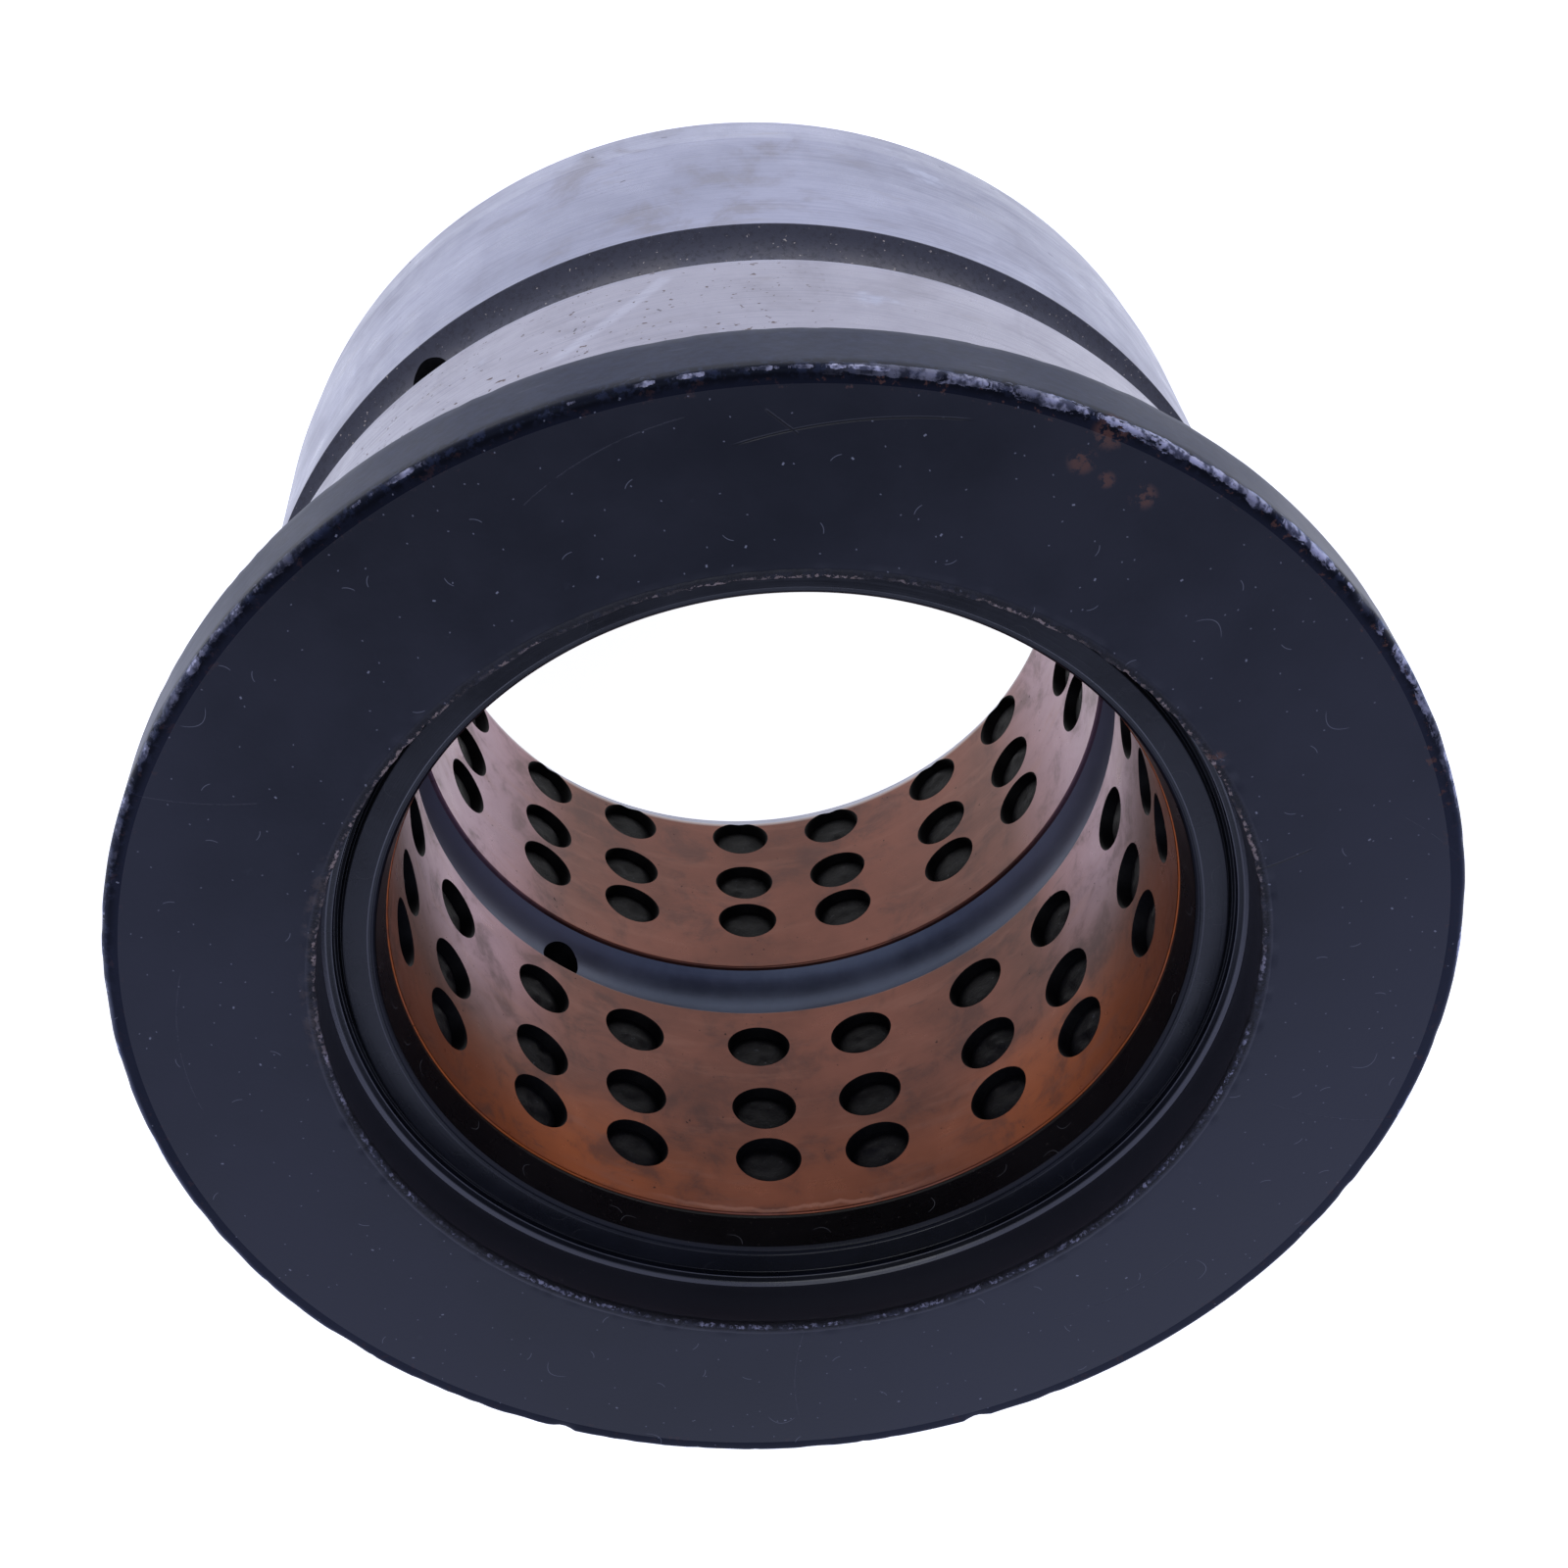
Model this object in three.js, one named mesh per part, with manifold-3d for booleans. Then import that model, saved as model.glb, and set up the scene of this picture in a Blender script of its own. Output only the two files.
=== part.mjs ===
// Flanged pin bushing: a steel shell with a mounting flange, two perforated bronze liners set in
// its bore, solid-lubricant plugs in the liners' holes, and a dust seal in the flange's mouth.
//
// Millimetres, +Z up. The bushing stands on the plain end of its barrel, with the flange on top,
// and Z is the bore's axis. Heights are measured from the plain end.

import * as THREE from 'three';
import { mergeVertices } from 'three/addons/utils/BufferGeometryUtils.js';
import Module from 'manifold-3d';

const wasm = await Module();
wasm.setup();

// Driving dimensions.
const BORE_RADIUS = 40;
const BARREL_RADIUS = 57.5;
const FLANGE_RADIUS = 66;
const LENGTH = 90;
const FLANGE_THICKNESS = 8.5;
const LINER_THICKNESS = 3;
const GAP = 0.3; // room left between pieces that touch on the real object

// Roundness of the solids: every turned piece has the same facets, so their gaps stay even.
const TURN_STEPS = 48;
const PLUG_SIDES = 8;
const HOLE_SIDES = 12;
const ARC_STEPS = 6;
const MERGE_DISTANCE = 1e-4;
const CUT_MARGIN = 2; // how far a cutting shape runs past the surface it cuts

// The shell.
const EDGE_CHAMFER = 0.5;
const PLAIN_END_CHAMFER = 1;
const LEAD_IN_LENGTH = 8; // slight taper that starts the barrel into its housing
const LEAD_IN_RELIEF = 0.5;
const GROOVE_HEIGHT = 40; // middle of the outer grease groove
const OUTER_GROOVE_WIDTH = 10;
const OUTER_GROOVE_DEPTH = 2.5;
const GREASE_HOLE_RADIUS = 2.5;
const GREASE_HOLE_HEIGHT = GROOVE_HEIGHT - 1.3; // a little below the middle of the groove
const GREASE_HOLE_ANGLES = [47, 302]; // degrees about +Z from +X

// The dust seal sits in a counterbore in the flange's mouth, on the counterbore's floor.
const COUNTERBORE_RADIUS = 46;
const COUNTERBORE_DEPTH = 11;
const MOUTH_CHAMFER = 0.7;
const SEAL_RECESS = 6.4; // from the flange's face down to the seal's flat face
const SEAL_FOOT_RADIUS = BORE_RADIUS + 0.1; // the lip opens a little from the foot up to the face
const SEAL_LIP_RADIUS = BORE_RADIUS + 0.9;
const SEAL_LIP_BEVEL = 0.4;
const SEAL_GROOVE_OUTER_RADIUS = COUNTERBORE_RADIUS - 1;
const SEAL_GROOVE_WIDTH = 0.9;
const SEAL_GROOVE_DEPTH = 0.9;

// The liners lie in recesses of the bore, one at each end, with the inner grease groove between.
const LINER_GAP = 9;
const LINER_GAP_HEIGHT = GROOVE_HEIGHT - 0.7;
const PLAIN_END_LIP = 3; // steel left below the lower liner
const LAND_RELIEF = 0.5; // how far the bare steel of the bore stands back from the liners
const INNER_GROOVE_DEPTH = 2.3;

// The plugs stand in upright columns of three. The columns come in pairs.
const PAIR_COUNT = 9;
const PAIR_FIRST_ANGLE = 90;
const PAIR_SPREAD = 18; // degrees between the two columns of a pair
const PLUG_RADIUS = 3.5;
const PLUG_RECESS = 1.2; // below the liner's running surface
const UPPER_ROW_PITCH = 11.1;
const LOWER_ROW_PITCH = 10.2;
const LOWER_ROW_DROP = 2.2; // the lower liner's rows sit towards the plain end
const PLUG_BACK_CLEARANCE = 0.2; // the flat backs stay clear of the round seat
const WEB_WIDTH = 3;
const WEB_THICKNESS = 0.9;

const upperLiner = {
  bottom: LINER_GAP_HEIGHT + LINER_GAP / 2,
  top: LENGTH - COUNTERBORE_DEPTH,
};
const lowerLiner = {
  bottom: PLAIN_END_LIP,
  top: LINER_GAP_HEIGHT - LINER_GAP / 2,
};
const LINER_OUTER_RADIUS = BORE_RADIUS + LINER_THICKNESS;
const PLUG_BACK_RADIUS = LINER_OUTER_RADIUS - PLUG_BACK_CLEARANCE;
const SEAT_RADIUS = LINER_OUTER_RADIUS + GAP;
const LAND_RADIUS = BORE_RADIUS + LAND_RELIEF;

const steel = new THREE.MeshStandardMaterial({ color: 0x50525c, roughness: 0.4, metalness: 0.8 });
const bronze = new THREE.MeshStandardMaterial({ color: 0xa8674a, roughness: 0.35, metalness: 0.9 });
const rubber = new THREE.MeshStandardMaterial({ color: 0x15171c, roughness: 0.5, metalness: 0 });
const graphite = new THREE.MeshStandardMaterial({ color: 0x17181b, roughness: 0.5, metalness: 0.2 });

function radians(degrees) {
  return THREE.MathUtils.degToRad(degrees);
}

// A closed outline of [radius, height] points, listed anticlockwise, turned about the Z axis.
function turned(outline) {
  const points = [...outline, outline[0]].map(([radius, height]) => new THREE.Vector2(radius, height));
  return new THREE.LatheGeometry(points, TURN_STEPS).rotateX(Math.PI / 2);
}

// Points of a groove's round section between two heights, at a radius, sinking by depth:
// outward for a positive depth, inward for a negative one.
function grooveArc(radius, fromHeight, toHeight, depth) {
  const halfWidth = Math.abs(toHeight - fromHeight) / 2;
  const sink = Math.abs(depth);
  const arcRadius = (halfWidth ** 2 + sink ** 2) / (2 * sink);
  const halfAngle = Math.asin(halfWidth / arcRadius);
  const middle = (fromHeight + toHeight) / 2;
  const direction = Math.sign(toHeight - fromHeight);
  const points = [];
  for (let step = 0; step <= ARC_STEPS; step += 1) {
    const angle = halfAngle * (2 * step / ARC_STEPS - 1);
    const rise = arcRadius * Math.cos(angle) - (arcRadius - sink);
    points.push([radius + Math.sign(depth) * rise, middle + direction * arcRadius * Math.sin(angle)]);
  }
  return points;
}

function toSolid(geometry) {
  const bare = geometry.clone();
  bare.deleteAttribute('normal');
  bare.deleteAttribute('uv');
  const merged = mergeVertices(bare, MERGE_DISTANCE);
  return new wasm.Manifold(new wasm.Mesh({
    numProp: 3,
    vertProperties: new Float32Array(merged.attributes.position.array),
    triVerts: new Uint32Array(merged.index.array),
  }));
}

function toGeometry(solid) {
  const mesh = solid.getMesh();
  const geometry = new THREE.BufferGeometry();
  geometry.setAttribute('position', new THREE.BufferAttribute(mesh.vertProperties, 3));
  geometry.setIndex(new THREE.BufferAttribute(mesh.triVerts, 1));
  geometry.computeVertexNormals();
  return geometry;
}

// A round bar lying along +X at a height, between two distances from the axis.
function radialBar(radius, sides, fromX, toX, height) {
  const bar = new THREE.CylinderGeometry(radius, radius, toX - fromX, sides);
  bar.rotateZ(-Math.PI / 2);
  return bar.translate((fromX + toX) / 2, 0, height);
}

function shellGeometry() {
  const counterboreFloor = LENGTH - COUNTERBORE_DEPTH;
  const flangeBack = LENGTH - FLANGE_THICKNESS;
  const grooveBottom = GROOVE_HEIGHT - OUTER_GROOVE_WIDTH / 2;
  const grooveTop = GROOVE_HEIGHT + OUTER_GROOVE_WIDTH / 2;
  const outline = [
    [BARREL_RADIUS - LEAD_IN_RELIEF - PLAIN_END_CHAMFER, 0],
    [BARREL_RADIUS - LEAD_IN_RELIEF, PLAIN_END_CHAMFER],
    [BARREL_RADIUS, LEAD_IN_LENGTH],
    ...grooveArc(BARREL_RADIUS, grooveBottom, grooveTop, -OUTER_GROOVE_DEPTH),
    [BARREL_RADIUS, flangeBack],
    [FLANGE_RADIUS - EDGE_CHAMFER, flangeBack],
    [FLANGE_RADIUS, flangeBack + EDGE_CHAMFER],
    [FLANGE_RADIUS, LENGTH - EDGE_CHAMFER],
    [FLANGE_RADIUS - EDGE_CHAMFER, LENGTH],
    [COUNTERBORE_RADIUS + MOUTH_CHAMFER, LENGTH],
    [COUNTERBORE_RADIUS, LENGTH - MOUTH_CHAMFER],
    [COUNTERBORE_RADIUS, counterboreFloor],
    [SEAT_RADIUS, counterboreFloor],
    [SEAT_RADIUS, upperLiner.bottom - GAP],
    ...grooveArc(LAND_RADIUS, upperLiner.bottom - GAP, lowerLiner.top + GAP, INNER_GROOVE_DEPTH),
    [SEAT_RADIUS, lowerLiner.top + GAP],
    [SEAT_RADIUS, lowerLiner.bottom - GAP],
    [LAND_RADIUS, lowerLiner.bottom - GAP],
    [LAND_RADIUS + PLAIN_END_CHAMFER, 0],
  ];
  let shell = toSolid(turned(outline));
  for (const angle of GREASE_HOLE_ANGLES) {
    const drill = radialBar(
      GREASE_HOLE_RADIUS,
      HOLE_SIDES,
      BORE_RADIUS - CUT_MARGIN,
      BARREL_RADIUS + CUT_MARGIN,
      GREASE_HOLE_HEIGHT,
    );
    shell = shell.subtract(toSolid(drill.rotateZ(radians(angle))));
  }
  return toGeometry(shell);
}

function sealGeometry() {
  const face = LENGTH - SEAL_RECESS;
  const foot = LENGTH - COUNTERBORE_DEPTH + GAP;
  const outerRadius = COUNTERBORE_RADIUS - GAP;
  const grooveInnerRadius = SEAL_GROOVE_OUTER_RADIUS - SEAL_GROOVE_WIDTH;
  return turned([
    [SEAL_FOOT_RADIUS, foot],
    [outerRadius, foot],
    [outerRadius, face],
    [SEAL_GROOVE_OUTER_RADIUS, face],
    [SEAL_GROOVE_OUTER_RADIUS, face - SEAL_GROOVE_DEPTH],
    [grooveInnerRadius, face - SEAL_GROOVE_DEPTH],
    [grooveInnerRadius, face],
    [SEAL_LIP_RADIUS + SEAL_LIP_BEVEL, face],
    [SEAL_LIP_RADIUS, face - SEAL_LIP_BEVEL],
  ]);
}

// Three bars in a column at +X, joined by an upright web. The lubricant plugs have this shape,
// and so does the room cut for them in a liner.
function plugColumn({ heights, plugRadius, fromX, toX, webFromX, webWidth, webMargin }) {
  const webLength = heights[2] - heights[0] + 2 * webMargin;
  const web = new THREE.BoxGeometry(toX - webFromX, webWidth, webLength);
  web.translate((webFromX + toX) / 2, 0, heights[1]);
  let column = toSolid(web);
  for (const height of heights) {
    column = column.add(toSolid(radialBar(plugRadius, PLUG_SIDES, fromX, toX, height)));
  }
  return column;
}

function plugHeights(liner, pitch, drop) {
  const middle = (liner.bottom + liner.top) / 2 - drop;
  return [middle - pitch, middle, middle + pitch];
}

function columnAngles() {
  const angles = [];
  for (let pair = 0; pair < PAIR_COUNT; pair += 1) {
    const centre = PAIR_FIRST_ANGLE + pair * 360 / PAIR_COUNT;
    angles.push(centre - PAIR_SPREAD / 2, centre + PAIR_SPREAD / 2);
  }
  return angles;
}

function plugGeometry(heights) {
  return toGeometry(plugColumn({
    heights,
    plugRadius: PLUG_RADIUS - GAP,
    fromX: BORE_RADIUS + PLUG_RECESS,
    toX: PLUG_BACK_RADIUS,
    webFromX: PLUG_BACK_RADIUS - WEB_THICKNESS,
    webWidth: WEB_WIDTH,
    webMargin: 0,
  }));
}

function linerGeometry(liner, heights) {
  let solid = toSolid(turned([
    [BORE_RADIUS, liner.bottom],
    [LINER_OUTER_RADIUS, liner.bottom],
    [LINER_OUTER_RADIUS, liner.top],
    [BORE_RADIUS, liner.top],
  ]));
  const room = plugColumn({
    heights,
    plugRadius: PLUG_RADIUS,
    fromX: BORE_RADIUS - CUT_MARGIN,
    toX: LINER_OUTER_RADIUS + CUT_MARGIN,
    webFromX: PLUG_BACK_RADIUS - WEB_THICKNESS - GAP,
    webWidth: WEB_WIDTH + 2 * GAP,
    webMargin: GAP,
  });
  for (const angle of columnAngles()) {
    solid = solid.subtract(room.rotate([0, 0, angle]));
  }
  return toGeometry(solid);
}

function named(name, geometry, material) {
  const mesh = new THREE.Mesh(geometry, material.clone());
  mesh.name = name;
  return mesh;
}

// One liner with its eighteen columns of plugs.
function linedEnd(end, liner, heights) {
  const group = new THREE.Group();
  group.add(named(`bronze_liner_${end}`, linerGeometry(liner, heights), bronze));
  columnAngles().forEach((angle, index) => {
    const number = String(index + 1).padStart(2, '0');
    const column = named(`plugs_${end}_${number}`, plugGeometry(heights), graphite);
    column.rotation.z = radians(angle);
    group.add(column);
  });
  return group;
}

const bushing = new THREE.Group();
bushing.add(named('flanged_shell', shellGeometry(), steel));
bushing.add(named('dust_seal', sealGeometry(), rubber));
bushing.add(linedEnd('flange_end', upperLiner, plugHeights(upperLiner, UPPER_ROW_PITCH, 0)));
bushing.add(linedEnd('plain_end', lowerLiner, plugHeights(lowerLiner, LOWER_ROW_PITCH, LOWER_ROW_DROP)));

export default bushing;
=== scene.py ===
"""The looks of the flanged pin bushing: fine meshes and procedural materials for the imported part.

The bushing stands on the plain end of its barrel with the flange on top, and Z is the bore's axis.
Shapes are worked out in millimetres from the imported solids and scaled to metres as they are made.
"""

import math
import random

import bpy
import numpy as np
from mathutils import Matrix, Vector


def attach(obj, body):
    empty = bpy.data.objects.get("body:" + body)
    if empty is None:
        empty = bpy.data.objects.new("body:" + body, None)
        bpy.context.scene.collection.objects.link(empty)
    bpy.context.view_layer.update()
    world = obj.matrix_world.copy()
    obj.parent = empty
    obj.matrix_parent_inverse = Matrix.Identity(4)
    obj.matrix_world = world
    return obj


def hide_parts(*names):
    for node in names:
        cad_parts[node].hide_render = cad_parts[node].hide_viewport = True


MM = 0.001

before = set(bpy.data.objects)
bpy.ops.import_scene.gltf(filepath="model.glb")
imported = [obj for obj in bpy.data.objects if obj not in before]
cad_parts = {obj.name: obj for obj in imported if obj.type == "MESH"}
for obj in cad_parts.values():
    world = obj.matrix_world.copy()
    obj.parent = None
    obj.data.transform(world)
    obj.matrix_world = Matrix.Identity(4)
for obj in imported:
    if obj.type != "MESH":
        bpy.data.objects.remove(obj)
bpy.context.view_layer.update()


# ---- sizes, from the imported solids


def node_points(name):
    """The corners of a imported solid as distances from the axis, heights and positions, in mm."""
    points = np.array([v.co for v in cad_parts[name].data.vertices]) / MM
    return np.hypot(points[:, 0], points[:, 1]), points[:, 2], points


def heights_at(node_radii, node_heights, radius):
    """The different heights of the corners that lie at one distance from the axis, lowest first."""
    at_radius = np.abs(node_radii - radius) < SAME_PLACE
    return sorted(set(np.round(node_heights[at_radius], 2)))


SAME_PLACE = 0.02  # mm, corners nearer than this stand at the same distance
shell_radii, shell_heights, _ = node_points("flanged_shell")
seal_radii, seal_heights, _ = node_points("dust_seal")

LENGTH = shell_heights.max()
FLANGE_RADIUS = shell_radii.max()
BARREL_RADIUS = shell_radii[shell_heights < LENGTH / 2].max()
LEAD_IN_TOP, OUTER_GROOVE_BOTTOM, OUTER_GROOVE_TOP, FLANGE_BACK = heights_at(
    shell_radii, shell_heights, BARREL_RADIUS
)
GROOVE_HEIGHT = (OUTER_GROOVE_BOTTOM + OUTER_GROOVE_TOP) / 2


class Liner:
    """A bronze liner's ends and radii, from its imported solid."""

    def __init__(self, end):
        self.end = end
        self.node = f"bronze_liner_{end}"
        radii, heights, _ = node_points(self.node)
        self.bottom = heights.min()
        self.top = heights.max()
        self.inner = radii.min()
        self.outer = radii.max()


upper_liner = Liner("flange_end")
lower_liner = Liner("plain_end")
BORE_RADIUS = upper_liner.inner
LINER_OUTER_RADIUS = upper_liner.outer
COUNTERBORE_FLOOR = upper_liner.top
COUNTERBORE_RADIUS = shell_radii[np.abs(shell_heights - COUNTERBORE_FLOOR) < SAME_PLACE].max()
SEAL_FACE_HEIGHT = seal_heights.max()
SEAL_FOOT_RADIUS = seal_radii.min()

between_liners = (shell_heights > lower_liner.top) & (shell_heights < upper_liner.bottom)
inside_bore = shell_radii < LINER_OUTER_RADIUS
LAND_RADIUS = shell_radii.min()
INNER_GROOVE_RADIUS = shell_radii[between_liners & inside_bore].max()

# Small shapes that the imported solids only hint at.
LEAD_IN_RELIEF = 0.5
CHIP_ANGLES = (60, 101.5, -38, -148)  # degrees, deeper chips in the flange's front edge
CHIP_HALF_LENGTH = 1.4
CHIP_DEPTH = 0.45
PLAIN_END_CHAMFER = 1.0
OUTER_GROOVE_DEPTH = 2.5
FLANGE_FILLET = 0.7
MOUTH_FILLET = 0.22
ROOT_FILLET = 0.6
GROOVE_LIP_FILLET = 0.25
SEAL_LIP_RADIUS = BORE_RADIUS + 0.9
SEAL_GROOVE_WIDTH = 0.9
SEAL_GROOVE_DEPTH = 0.9
GREASE_HOLE_RADIUS = 2.5
GREASE_HOLE_HEIGHT = GROOVE_HEIGHT - 1.3
GREASE_HOLE_ANGLES = (47, 302)  # degrees about the axis from +X
CAD_GAP = 0.3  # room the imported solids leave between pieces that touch
PLUG_RINGS = 9
PLUG_BUMPS = 12
HOLE_CHAMFER = 0.12

SHELL_STEPS = 640  # round the axis
SEAL_STEPS = 480
LINER_STEPS = 360
ROUND_SIDES = 48  # of a hole, a drill or a plug
SHELL_SPACING = 9.0  # mm between the rings on a long side
SEAL_SPACING = 4.0
LINER_SPACING = 2.2
SHELL_OVERCUT = 2.0  # mm that a drill goes on past a face
LINER_OVERCUT = 1.0
FILLET_STEPS = 5
GROOVE_STEPS = 11
FLANGE_WAVE = 0.16  # mm, how far the flange's rim wanders
FLANGE_WAVE_INSET = 0.12  # mm it stands back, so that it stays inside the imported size
DENT_REACH = 1.6  # mm from an edge within which its dents move the surface
SUPPORT = 0.12  # mm from a corner to the extra point that keeps the flat beside it flat
DIVIDED_SIDE = 1.5  # mm, shorter sides of an outline stay whole
FILLET_SHARE = 0.45  # of the sides beside a corner, which its fillet takes at most


# ---- turned shapes


def corner(radius, height, zone, fillet=0.0):
    """A corner of a turned outline; zone names the finish of the side that follows it."""
    return {"at": np.array([radius, height], float), "zone": zone, "fillet": fillet}


def groove_corners(radius, from_height, to_height, depth, zone, lip_fillet=0.0):
    """Corners of a groove's round section, sinking outward for a positive depth, else inward."""
    half_width = abs(to_height - from_height) / 2
    sink = abs(depth)
    arc_radius = (half_width**2 + sink**2) / (2 * sink)
    half_angle = math.asin(half_width / arc_radius)
    middle = (from_height + to_height) / 2
    direction = math.copysign(1, to_height - from_height)
    corners = []
    for step in range(GROOVE_STEPS + 1):
        angle = half_angle * (2 * step / GROOVE_STEPS - 1)
        rise = arc_radius * math.cos(angle) - (arc_radius - sink)
        height = middle + direction * arc_radius * math.sin(angle)
        fillet = lip_fillet if step in (0, GROOVE_STEPS) else 0.0
        corners.append(corner(radius + math.copysign(rise, depth), height, zone, fillet))
    return corners


def rounded_corner(before, here, after):
    """Points of one corner of an outline: the corner itself, or an arc that cuts it off."""
    if here["fillet"] == 0:
        return [here["at"]]
    into = before["at"] - here["at"]
    out = after["at"] - here["at"]
    into_length = np.linalg.norm(into)
    out_length = np.linalg.norm(out)
    into /= into_length
    out /= out_length
    half = math.acos(np.clip(into @ out, -1, 1)) / 2
    reach = min(here["fillet"] / math.tan(half), FILLET_SHARE * min(into_length, out_length))
    radius = reach * math.tan(half)
    bisector = (into + out) / np.linalg.norm(into + out)
    centre = here["at"] + bisector * radius / math.sin(half)
    start = here["at"] + into * reach - centre
    end = here["at"] + out * reach - centre
    turn = math.pi - 2 * half
    points = []
    for step in range(FILLET_STEPS + 1):
        share = step / FILLET_STEPS
        spread = math.sin((1 - share) * turn) * start + math.sin(share * turn) * end
        points.append(centre + spread / math.sin(turn))
    return points


def outline_points(corners, spacing):
    """Points of a closed outline and the finish of the side after each, with long sides divided."""
    rounded = []
    for index, here in enumerate(corners):
        after = corners[(index + 1) % len(corners)]
        for point in rounded_corner(corners[index - 1], here, after):
            rounded.append((point, here["zone"]))
    points = []
    zones = []
    for index, (point, zone) in enumerate(rounded):
        following = rounded[(index + 1) % len(rounded)][0]
        side = following - point
        length = np.linalg.norm(side)
        shares = [0.0]
        if length > DIVIDED_SIDE:
            count = max(1, math.ceil((length - 2 * SUPPORT) / spacing))
            first = SUPPORT / length
            shares += list(np.linspace(first, 1 - first, count + 1))
        for share in shares:
            points.append(point + side * share)
            zones.append(zone)
    return np.array(points), zones


def turned_mesh(name, corners, materials, spacing, steps, wear=None):
    """A closed outline turned about the axis, with each side's finish taken from its zone.

    wear(radius, height, angle) may move the points of the grid a little; all are arrays."""
    points, zones = outline_points(corners, spacing)
    angles = np.arange(steps) * 2 * math.pi / steps
    radius = np.repeat(points[None, :, 0], steps, axis=0)
    height = np.repeat(points[None, :, 1], steps, axis=0)
    angle = np.repeat(angles[:, None], len(points), axis=1)
    if wear:
        radius, height = wear(radius, height, angle)
    places = np.stack([radius * np.cos(angle), radius * np.sin(angle), height], axis=-1)
    count = len(points)
    turn, along = np.meshgrid(np.arange(steps), np.arange(count), indexing="ij")
    next_turn = (turn + 1) % steps
    next_along = (along + 1) % count
    faces = np.stack(
        [
            turn * count + along,
            next_turn * count + along,
            next_turn * count + next_along,
            turn * count + next_along,
        ],
        axis=-1,
    ).reshape(-1, 4)
    mesh = bpy.data.meshes.new(name)
    mesh.from_pydata((places.reshape(-1, 3) * MM).tolist(), [], faces.tolist())
    names = list(materials)
    for zone in names:
        mesh.materials.append(materials[zone])
    zone_numbers = [names.index(zone) for zone in zones]
    mesh.polygons.foreach_set("material_index", np.tile(zone_numbers, steps).astype(np.int32))
    return mesh


def finish_mesh(mesh, sharp_angle=35):
    """Smooth shading, with edges sharper than an angle left crisp."""
    mesh.shade_smooth()
    mesh.set_sharp_from_angle(angle=math.radians(sharp_angle))
    mesh.update()


def new_object(name, mesh):
    piece = bpy.data.objects.new(name, mesh)
    bpy.context.scene.collection.objects.link(piece)
    return piece


def disc_ring(radius, distance, height):
    """A ring of points about a line square to the axis, at a distance from the axis."""
    turn = np.arange(ROUND_SIDES) * 2 * math.pi / ROUND_SIDES
    side = radius * np.cos(turn)
    rise = radius * np.sin(turn)
    return np.stack([np.full(ROUND_SIDES, distance), side, height + rise], axis=-1)


def turned_to(points, angle):
    """Points beside +X turned about the axis to an angle in degrees."""
    return points @ np.array(Matrix.Rotation(math.radians(angle), 3, "Z")).T


def radial_bar(sections, angle, height):
    """A closed round bar along a direction square to the axis; sections are (distance, radius)."""
    rings = [disc_ring(radius, distance, height) for distance, radius in sections]
    faces = []
    for ring in range(len(sections) - 1):
        base = ring * ROUND_SIDES
        for side in range(ROUND_SIDES):
            following = (side + 1) % ROUND_SIDES
            near = (base + side, base + following)
            far = (base + ROUND_SIDES + following, base + ROUND_SIDES + side)
            faces.append(near + far)
    last = (len(sections) - 1) * ROUND_SIDES
    faces.append(tuple(range(ROUND_SIDES - 1, -1, -1)))
    faces.append(tuple(range(last, last + ROUND_SIDES)))
    return turned_to(np.concatenate(rings), angle), faces


def joined(parts):
    """One list of points and faces from several."""
    points = []
    faces = []
    offset = 0
    for part_points, part_faces in parts:
        points.append(part_points)
        faces += [tuple(index + offset for index in face) for face in part_faces]
        offset += len(part_points)
    return np.concatenate(points), faces


def cut(mesh, cutter_points, cutter_faces, wall_material):
    """The mesh with the cutter's space taken out of it; the walls left get the wall material."""
    cutter_mesh = bpy.data.meshes.new("cutter")
    cutter_mesh.from_pydata((cutter_points * MM).tolist(), [], cutter_faces)
    cutter_mesh.materials.append(wall_material)
    cutter = new_object("cutter", cutter_mesh)
    blank = new_object("blank", mesh)
    boolean = blank.modifiers.new("cut", "BOOLEAN")
    boolean.object = cutter
    boolean.operation = "DIFFERENCE"
    boolean.solver = "MANIFOLD"
    boolean.material_mode = "TRANSFER"
    bpy.context.view_layer.update()
    evaluated = blank.evaluated_get(bpy.context.evaluated_depsgraph_get())
    result = bpy.data.meshes.new_from_object(evaluated)
    result.name = mesh.name + "_cut"
    bpy.data.objects.remove(blank)
    bpy.data.objects.remove(cutter)
    return result


# ---- wear of the shell's edges


def scattered_nicks(seed, count, length_range, depth_range):
    """Angles, half lengths and depths of small dents along a round edge."""
    chance = random.Random(seed)
    nicks = []
    for _ in range(count):
        angle = chance.uniform(-math.pi, math.pi)
        nicks.append((angle, chance.uniform(*length_range), chance.uniform(*depth_range)))
    return nicks


def nick_depth(nicks, edge_radius, angle):
    """How deep the edge is dented at each angle."""
    depth = np.zeros_like(angle)
    for centre, half_length, deepest in nicks:
        away = np.abs((angle - centre + math.pi) % (2 * math.pi) - math.pi) * edge_radius
        dent = deepest * np.clip(1 - (away / half_length) ** 2, 0, 1)
        depth = np.maximum(depth, dent)
    return depth


def waviness(angle, seed, size, waves=(2, 9)):
    """A slow, seeded wandering round the axis, at most about size."""
    chance = random.Random(seed)
    total = np.zeros_like(angle)
    orders = range(*waves)
    for order in orders:
        total += chance.uniform(0.3, 1) * np.cos(order * angle + chance.uniform(0, 2 * math.pi))
    return total * size / len(orders)


def dented_edge(radius, height, angle, edge, inward, nicks):
    """Moves the points near a round edge inward by its dents; edge is (radius, height)."""
    away = np.hypot(radius - edge[0], height - edge[1])
    depth = nick_depth(nicks, edge[0], angle) * np.clip(1 - away / DENT_REACH, 0, 1)
    return radius + inward[0] * depth, height + inward[1] * depth


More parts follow.
